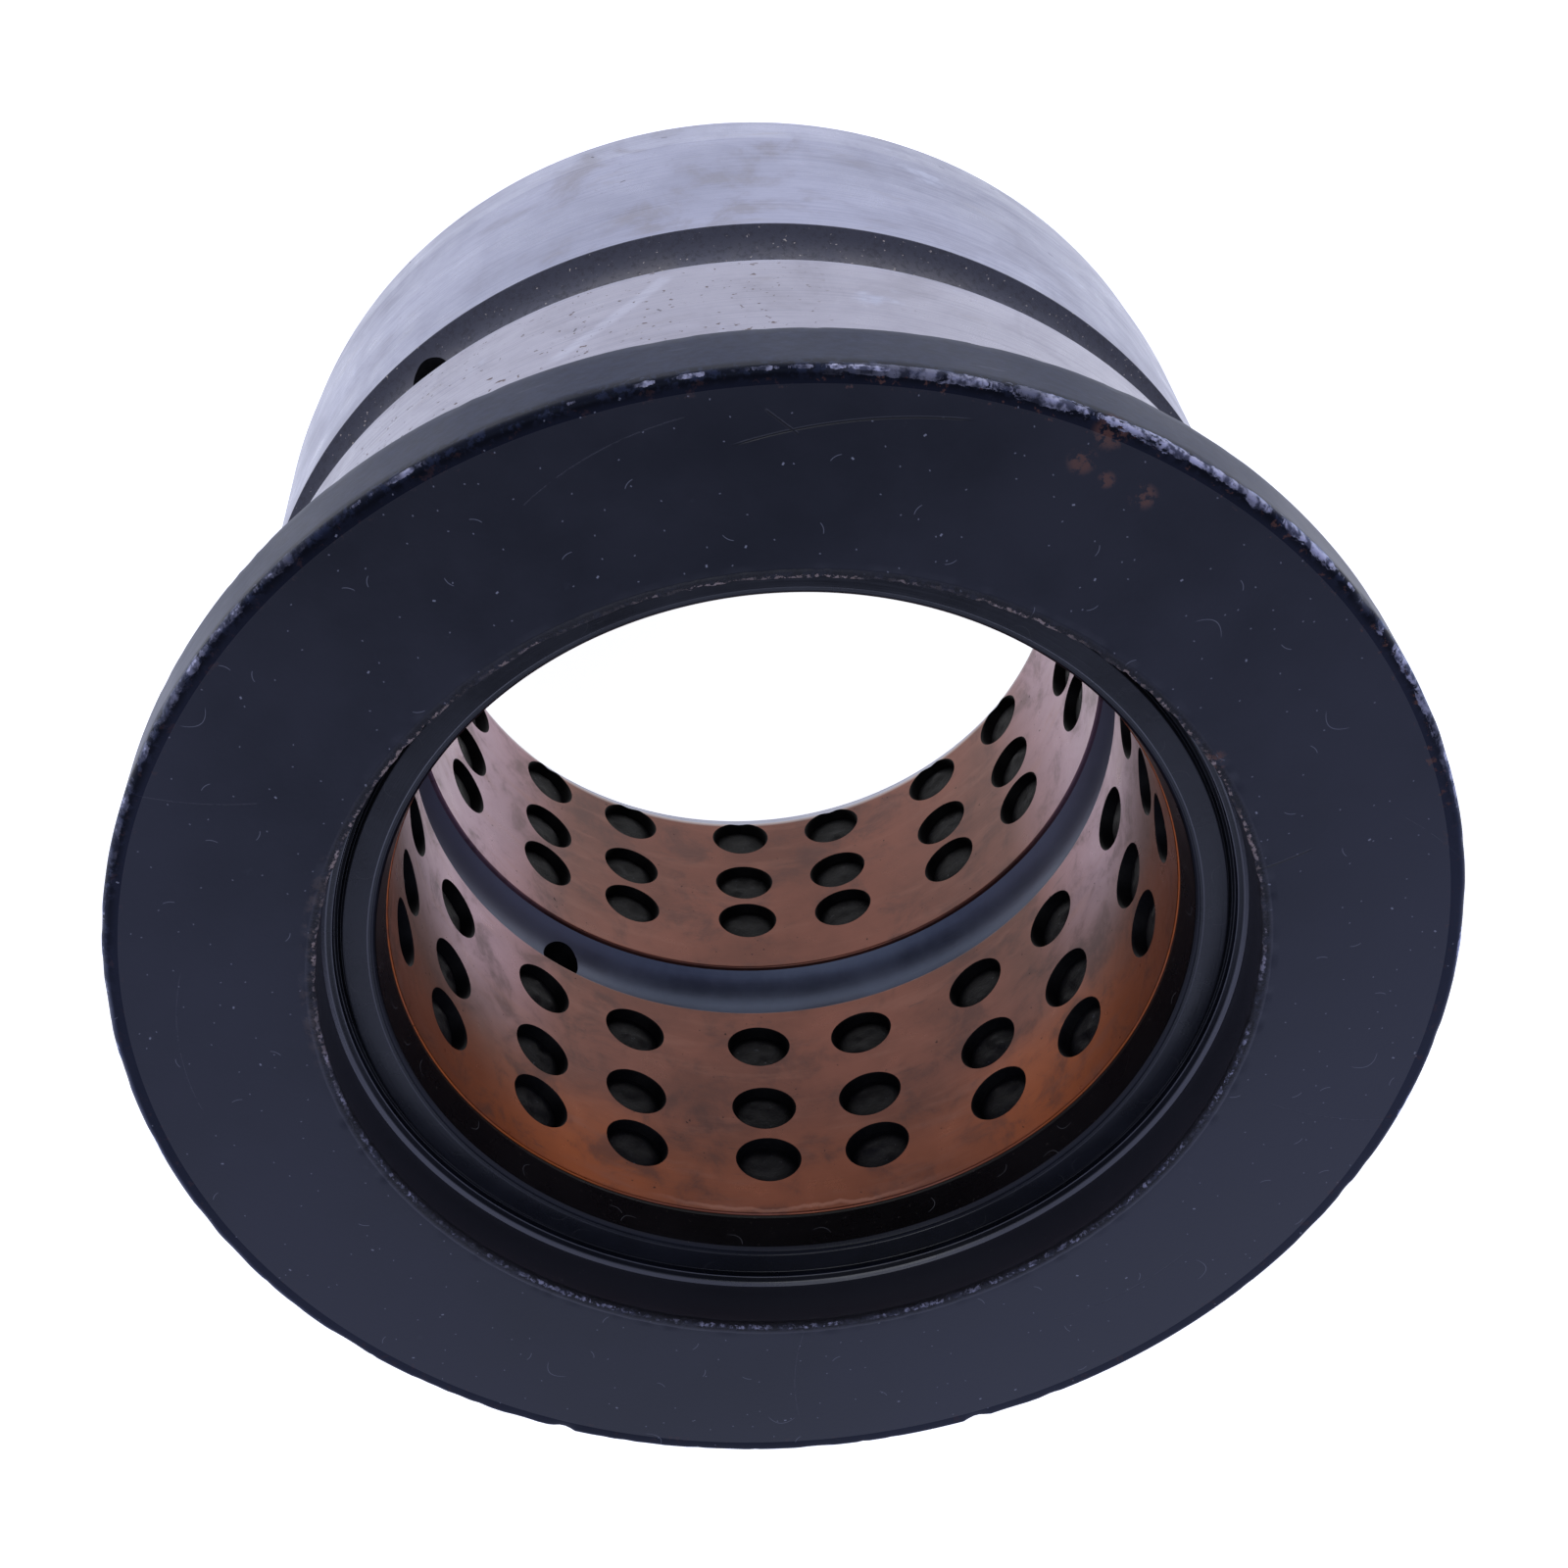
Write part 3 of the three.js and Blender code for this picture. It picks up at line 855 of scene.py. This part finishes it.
def hole_soot():
    """The walls of the liners' holes, black with lubricant."""
    f = Finish("hole_soot")
    grain = f.noise(1.8, 4, 0.6, seed=1)
    f.start(f.ramp(grain, 0.4, 0.7), (0.0012, 0.0012, 0.0018), (0.004, 0.0036, 0.004))
    normal = f.bump(grain, 0.05, 0.5)
    return f.paint(Specular_IOR_Level=0.15, Roughness=0.6, Normal=normal)


def plug_graphite():
    """Solid lubricant: black, smeared, shiny in broken patches that carry painted glints."""
    f = Finish("plug_graphite")
    coarse = f.noise(0.7, 3, 0.55, seed=1)
    fine = f.noise(2.6, 4, 0.6, seed=2)
    f.start(f.ramp(coarse, 0.4, 0.65), (0.0008, 0.0008, 0.0012), (0.0028, 0.003, 0.0042))
    # Painted highlights: bluish-grey glints where the graphite is smoothest.
    glints = f.ramp(f.noise(1.3, 5, 0.75, seed=3), 0.62, 0.7)
    f.layer(glints, (0.09, 0.1, 0.125), 0.7)
    rough = f.ramp(glints, 0, 1, 0.6, 0.2)
    normal = f.bump(fine, 0.14, 0.7)
    return f.paint(Specular_IOR_Level=0.25, Roughness=rough, Normal=normal)


def seal_rubber(name, specular):
    """The dust seal: painted over on its face, black and fluffy in its lip and groove."""
    f = Finish(name)
    cloud = f.noise(0.12, 4, 0.6, seed=1)
    fine = f.noise(1.6, 4, 0.65, seed=2)
    rings = f.turned(1.5, 5, 3, 0.6, seed=3, outward=6)
    f.start(f.ramp(cloud, 0.35, 0.65), (0.0018, 0.0026, 0.0052), (0.0034, 0.0046, 0.009))
    lip = f.ramp(f.radius, SEAL_LIP_RADIUS + 0.25, SEAL_LIP_RADIUS)
    f.layer(lip, (0.001, 0.001, 0.0011), 0.9)
    dust_noise = f.noise(2.0, 3, 0.6, seed=4)
    dust = f.times(f.ramp(dust_noise, 0.64, 0.72), f.ramp(lip, 0, 1, 0.25, 1.0))
    f.layer(dust, (0.075, 0.065, 0.05), 0.4)
    unrolled = f.unrolled(BORE_RADIUS, f.plus(f.height, f.radius))
    fluff = f.marks(unrolled, 4.5, 1.1, 0.045, 0.5, seed=5, bend=0.6)
    f.layer(f.times(fluff, f.ramp(lip, 0, 1, 0.15, 0.55)), (0.16, 0.16, 0.15))
    rough = f.ramp(cloud, 0.3, 0.7, 0.24, 0.33)
    normal = f.bump(rings, 0.03, 0.5)
    normal = f.bump(fine, 0.03, 0.3, normal)
    return f.paint(Specular_IOR_Level=specular, Roughness=rough, Normal=normal)


# ---- the pieces


def make_shell(paint, rim, ground, groove, bore, soot):
    """The flanged steel shell, closed all round, with its two grease holes drilled."""
    seat = LINER_OUTER_RADIUS
    end_radius = BARREL_RADIUS - LEAD_IN_RELIEF
    zones = {"paint": paint, "rim": rim, "ground": ground, "groove": groove, "bore": bore}
    inner_sink = INNER_GROOVE_RADIUS - LAND_RADIUS
    corners = [
        corner(end_radius - PLAIN_END_CHAMFER, 0, "ground", 0.2),
        corner(end_radius, PLAIN_END_CHAMFER, "ground", 0.3),
        corner(BARREL_RADIUS, LEAD_IN_TOP, "ground", 1.0),
        *groove_corners(
            BARREL_RADIUS,
            OUTER_GROOVE_BOTTOM,
            OUTER_GROOVE_TOP,
            -OUTER_GROOVE_DEPTH,
            "groove",
            GROOVE_LIP_FILLET,
        )[:-1],
        corner(BARREL_RADIUS, OUTER_GROOVE_TOP, "ground", GROOVE_LIP_FILLET),
        corner(BARREL_RADIUS, FLANGE_BACK, "paint", ROOT_FILLET),
        corner(FLANGE_RADIUS - DENT_REACH, FLANGE_BACK, "paint"),
        corner(FLANGE_RADIUS, FLANGE_BACK, "rim", FLANGE_FILLET),
        corner(FLANGE_RADIUS, FLANGE_BACK + DENT_REACH, "rim"),
        corner(FLANGE_RADIUS, LENGTH - DENT_REACH, "rim"),
        corner(FLANGE_RADIUS, LENGTH, "rim", FLANGE_FILLET),
        corner(FLANGE_RADIUS - DENT_REACH, LENGTH, "paint"),
        corner(COUNTERBORE_RADIUS + DENT_REACH, LENGTH, "paint"),
        corner(COUNTERBORE_RADIUS, LENGTH, "paint", MOUTH_FILLET),
        corner(COUNTERBORE_RADIUS, LENGTH - DENT_REACH, "paint"),
        corner(COUNTERBORE_RADIUS, COUNTERBORE_FLOOR, "paint", 0.3),
        corner(seat, COUNTERBORE_FLOOR, "bore", 0.2),
        corner(seat, upper_liner.bottom, "bore"),
        *groove_corners(LAND_RADIUS, upper_liner.bottom, lower_liner.top, inner_sink, "bore"),
        corner(seat, lower_liner.top, "bore"),
        corner(seat, lower_liner.bottom, "bore"),
        corner(LAND_RADIUS, lower_liner.bottom, "bore", 0.15),
        corner(LAND_RADIUS + PLAIN_END_CHAMFER, 0, "ground", 0.2),
    ]
    blank = turned_mesh("flanged_shell", corners, zones, SHELL_SPACING, SHELL_STEPS, shell_wear)
    inside = BORE_RADIUS - SHELL_OVERCUT
    outside = BARREL_RADIUS + SHELL_OVERCUT
    sections = [(inside, GREASE_HOLE_RADIUS), (outside, GREASE_HOLE_RADIUS)]
    drills = []
    for angle in GREASE_HOLE_ANGLES:
        drills.append(radial_bar(sections, angle, GREASE_HOLE_HEIGHT))
    mesh = cut(blank, *joined(drills), soot)
    finish_mesh(mesh)
    return new_object("steel_shell", mesh)


def make_seal(face_rubber, lip_rubber):
    """The dust seal: a flat face with a narrow ridged groove, and a lip bevelled to the bore."""
    face = SEAL_FACE_HEIGHT
    foot = COUNTERBORE_FLOOR
    groove_outer = COUNTERBORE_RADIUS - 1.0
    groove_inner = groove_outer - SEAL_GROOVE_WIDTH
    groove_floor = face - SEAL_GROOVE_DEPTH
    middle = (groove_outer + groove_inner) / 2
    corners = [
        corner(SEAL_FOOT_RADIUS, foot, "rubber"),
        corner(COUNTERBORE_RADIUS, foot, "rubber"),
        corner(COUNTERBORE_RADIUS, face + 0.4, "rubber"),
        corner(COUNTERBORE_RADIUS - 0.35, face, "rubber", 0.3),
        corner(groove_outer, face - 0.05, "rubber", 0.16),
        corner(groove_outer - 0.08, groove_floor, "rubber", 0.08),
        corner(middle, groove_floor + 0.35, "rubber", 0.05),
        corner(groove_inner + 0.08, groove_floor, "rubber", 0.08),
        corner(groove_inner, face, "rubber", 0.16),
        corner(SEAL_LIP_RADIUS + 0.85, face, "rubber", 0.05),
        corner(SEAL_LIP_RADIUS + 0.75, face - 0.06, "rubber", 0.05),
        corner(SEAL_LIP_RADIUS + 0.35, face - 0.08, "lip", 0.3),
        corner(SEAL_LIP_RADIUS, face - 0.5, "lip", 0.25),
        corner(SEAL_FOOT_RADIUS, foot + 0.4, "lip", 0.2),
    ]
    zones = {"rubber": face_rubber, "lip": lip_rubber}
    mesh = turned_mesh("dust_seal", corners, zones, SEAL_SPACING, SEAL_STEPS)
    finish_mesh(mesh, 50)
    return new_object("rubber_dust_seal", mesh)


class PlugColumn:
    """The places of one upright column of three plugs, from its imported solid."""

    def __init__(self, node):
        self.node = node
        radii, heights, points = node_points(node)
        middle = points[:, :2].mean(axis=0)
        self.angle = math.degrees(math.atan2(middle[1], middle[0]))
        along = middle / np.linalg.norm(middle)
        distance = points[:, :2] @ along
        front = distance < distance.min() + 2 * SAME_PLACE
        self.face = distance.min()
        front_heights = np.sort(heights[front])
        thirds = np.array_split(front_heights, 3)
        self.heights = [(third[0] + third[-1]) / 2 for third in thirds]
        self.plug_radius = (thirds[0][-1] - thirds[0][0]) / 2


def hole_radius(column):
    """The liners' holes are the plugs' size: touching on the real part, a gap apart as packed."""
    return column.plug_radius + CAD_GAP


def make_liner(liner, columns, bronze, soot):
    """A bronze liner with a slightly broken edge at each end and a round hole for every plug."""
    corners = [
        corner(liner.inner, liner.bottom, "bronze", 0.25),
        corner(liner.outer, liner.bottom, "bronze", 0.1),
        corner(liner.outer, liner.top, "bronze", 0.1),
        corner(liner.inner, liner.top, "bronze", 0.25),
    ]
    blank = turned_mesh(liner.node, corners, {"bronze": bronze}, LINER_SPACING, LINER_STEPS)
    radius = hole_radius(columns[0])
    sections = [
        (liner.inner - LINER_OVERCUT, radius + HOLE_CHAMFER + 0.9),
        (liner.inner - 0.05, radius + HOLE_CHAMFER),
        (liner.inner + HOLE_CHAMFER + 0.1, radius),
        (liner.outer + LINER_OVERCUT, radius),
    ]
    drills = []
    for column in columns:
        for height in column.heights:
            drills.append(radial_bar(sections, column.angle, height))
    mesh = cut(blank, *joined(drills), soot)
    finish_mesh(mesh, 30)
    return new_object(f"liner_{liner.end}", mesh)


def plug_face(radius, seed):
    """A function that says how far a plug's dished, dented front stands out at (side, rise)."""
    chance = random.Random(seed)
    tilt = chance.uniform(0, 2 * math.pi)
    slope = chance.uniform(0.0, 0.05)
    bumps = []
    for _ in range(PLUG_BUMPS):
        turn = chance.uniform(0, 2 * math.pi)
        away = chance.uniform(0.5, 2.6)
        size = chance.uniform(0.5, 1.1)
        depth = chance.uniform(-0.22, 0.22)
        bumps.append((away * math.cos(turn), away * math.sin(turn), size, depth))

    def depth_at(side, rise):
        share = np.hypot(side, rise) / radius
        depth = -0.35 * (1 - share**2) + 0.25 * share**6
        depth += slope * (side * math.cos(tilt) + rise * math.sin(tilt))
        for bump_side, bump_rise, size, height in bumps:
            away = (side - bump_side) ** 2 + (rise - bump_rise) ** 2
            depth += height * np.exp(-away / size**2) * (1 - share**8)
        return depth

    return depth_at


def plug_shape(column, height, seed):
    """One plug: a closed round slug, flat at the back, with a dented front."""
    radius = hole_radius(column) - 0.01
    depth_at = plug_face(radius, seed)
    rings = [disc_ring(radius, LINER_OUTER_RADIUS - 0.02, height)]
    for ring in range(PLUG_RINGS, 0, -1):
        points = disc_ring(radius * ring / PLUG_RINGS, column.face, height)
        points[:, 0] += depth_at(points[:, 1], points[:, 2] - height)
        rings.append(points)
    tip_depth = float(depth_at(np.array(0.0), np.array(0.0)))
    tip_point = np.array([[column.face + tip_depth, 0.0, height]])
    faces = [tuple(range(ROUND_SIDES))]
    for ring in range(PLUG_RINGS):
        base = ring * ROUND_SIDES
        for side in range(ROUND_SIDES):
            following = (side + 1) % ROUND_SIDES
            near = (base + following, base + side)
            far = (base + ROUND_SIDES + side, base + ROUND_SIDES + following)
            faces.append(near + far)
    base = PLUG_RINGS * ROUND_SIDES
    tip = base + ROUND_SIDES
    for side in range(ROUND_SIDES):
        faces.append((base + (side + 1) % ROUND_SIDES, base + side, tip))
    return turned_to(np.concatenate([*rings, tip_point]), column.angle), faces


def make_plugs(column, graphite, seed):
    """The three plugs of one column."""
    shapes = []
    for number, height in enumerate(column.heights):
        shapes.append(plug_shape(column, height, seed * 10 + number))
    points, faces = joined(shapes)
    mesh = bpy.data.meshes.new(column.node)
    mesh.from_pydata((points * MM).tolist(), [], faces)
    mesh.materials.append(graphite)
    finish_mesh(mesh, 60)
    return new_object(f"lubricant_{column.node}", mesh)


def place(piece, slot, *nodes):
    """The piece rides on the bushing's one body and stands for CAD nodes, which are hidden; slot is
    not used.
    """
    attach(piece, "root")
    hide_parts(*nodes)


def build_bushing():
    soot = hole_soot()
    face_paint = black_paint("black_paint", 0.5, (1.0, 1.0, 1.0))
    rim_paint = black_paint("rim_paint", 0.12, (0.6, 0.72, 1.0))
    shell = make_shell(face_paint, rim_paint, ground_steel(), groove_steel(), bore_steel(), soot)
    place(shell, "shell_steel", "flanged_shell")
    seal = make_seal(seal_rubber("seal_rubber", 0.95), seal_rubber("seal_lip", 0.25))
    place(seal, "seal_rubber", "dust_seal")
    bronze = liner_bronze()
    graphite = plug_graphite()
    for liner in (upper_liner, lower_liner):
        names = sorted(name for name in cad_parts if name.startswith(f"plugs_{liner.end}_"))
        columns = [PlugColumn(name) for name in names]
        place(make_liner(liner, columns, bronze, soot), "liner_bronze", liner.node)
        for number, column in enumerate(columns):
            seed = number + (100 if liner is lower_liner else 0)
            place(make_plugs(column, graphite, seed), "plug_graphite", column.node)


# ---- floor, light and camera


FLOOR_SIZE = 4.0
FLOOR_GLOW = 0.97
WORLD_LOW = (0.27, 0.29, 0.44)
WORLD_HIGH = (0.04, 0.044, 0.066)
WORLD_SIDE_GAIN = 2.5
WORLD_SIDE_SHIFT = 0.04  # the -X side is a little brighter than the +X side
CAMERA_FROM_FACE = Vector((-4.8, -145.9, 180.3)) * MM
AIM_FROM_FACE = Vector((-2.0, -24.6, 0.0)) * MM
CAMERA_ROLL = 173.2  # degrees: the picture is nearly upside down
CAMERA_LENS = 54.45
SENSOR_WIDTH = 36.0


def make_floor():
    """A plain pale table that glows softly, so that it is as bright through the bore as around."""
    f = Finish("pale_table")
    cloud = f.noise(0.004, 3, 0.5, seed=1)
    f.start(cloud, (0.78, 0.79, 0.82), (0.82, 0.83, 0.86))
    f.paint(Roughness=0.8, Emission_Color=(0.96, 0.97, 1.0), Emission_Strength=FLOOR_GLOW)
    mesh = bpy.data.meshes.new("table")
    half = FLOOR_SIZE / 2
    corners = [(-half, -half, 0), (half, -half, 0), (half, half, 0), (-half, half, 0)]
    mesh.from_pydata(corners, [], [(0, 1, 2, 3)])
    mesh.materials.append(f.material)
    new_object("table", mesh)


def make_world():
    """Dim, cool light from all round: brighter to the sides, and near the horizon than overhead."""
    world = bpy.data.worlds.new("studio")
    world.use_nodes = True
    sky = Nodes(world.node_tree)
    x, _, z = sky.parts(sky.node("TexCoord").outputs["Generated"])
    colour = sky.mix(sky.ramp(z, 0.45, 0.95), WORLD_LOW, WORLD_HIGH)
    sideways = sky.size(sky.minus(x, WORLD_SIDE_SHIFT))
    background = sky.tree.nodes["Background"]
    sky.feed(background.inputs["Color"], colour)
    sky.feed(background.inputs["Strength"], sky.ramp(sideways, 0.0, 0.34, 1.0, WORLD_SIDE_GAIN))
    bpy.context.scene.world = world


def soft_light(name, place_m, aim_m, size, watts, colour):
    """A square softbox that the camera doesn't see."""
    data = bpy.data.lights.new(name, "AREA")
    data.shape = "SQUARE"
    data.size = size
    data.energy = watts
    data.color = colour
    light = new_object(name, data)
    light.location = place_m
    light.rotation_euler = (Vector(aim_m) - Vector(place_m)).to_track_quat("-Z", "Y").to_euler()
    light.visible_camera = False


def add_camera():
    """Looks down on the flange's face from one side, the picture turned nearly upside down."""
    face_centre = Vector((0, 0, LENGTH * MM))
    position = face_centre + CAMERA_FROM_FACE
    aim = face_centre + AIM_FROM_FACE
    back = (position - aim).normalized()
    right = Vector((0, 0, 1)).cross(back).normalized()
    up = back.cross(right)
    level = Matrix((right, up, back)).transposed()
    turned = Matrix.Rotation(math.radians(CAMERA_ROLL), 3, back) @ level
    data = bpy.data.cameras.new("camera")
    data.lens = CAMERA_LENS
    data.sensor_width = SENSOR_WIDTH
    data.clip_start = 0.01
    camera = new_object("camera", data)
    camera.matrix_world = Matrix.Translation(position) @ turned.to_4x4()
    bpy.context.scene.camera = camera


def light_studio():
    centre = (0.0, 0.0, LENGTH * MM / 2)
    soft_light("key", (0.1, -0.5, 0.9), centre, 0.5, 1.3, (0.93, 0.96, 1.0))
    soft_light("far_card", (0.0, 0.9, 0.6), centre, 0.8, 0.9, (0.66, 0.74, 1.0))


bpy.context.scene.view_settings.view_transform = "Standard"
build_bushing()
make_floor()
make_world()
light_studio()
add_camera()
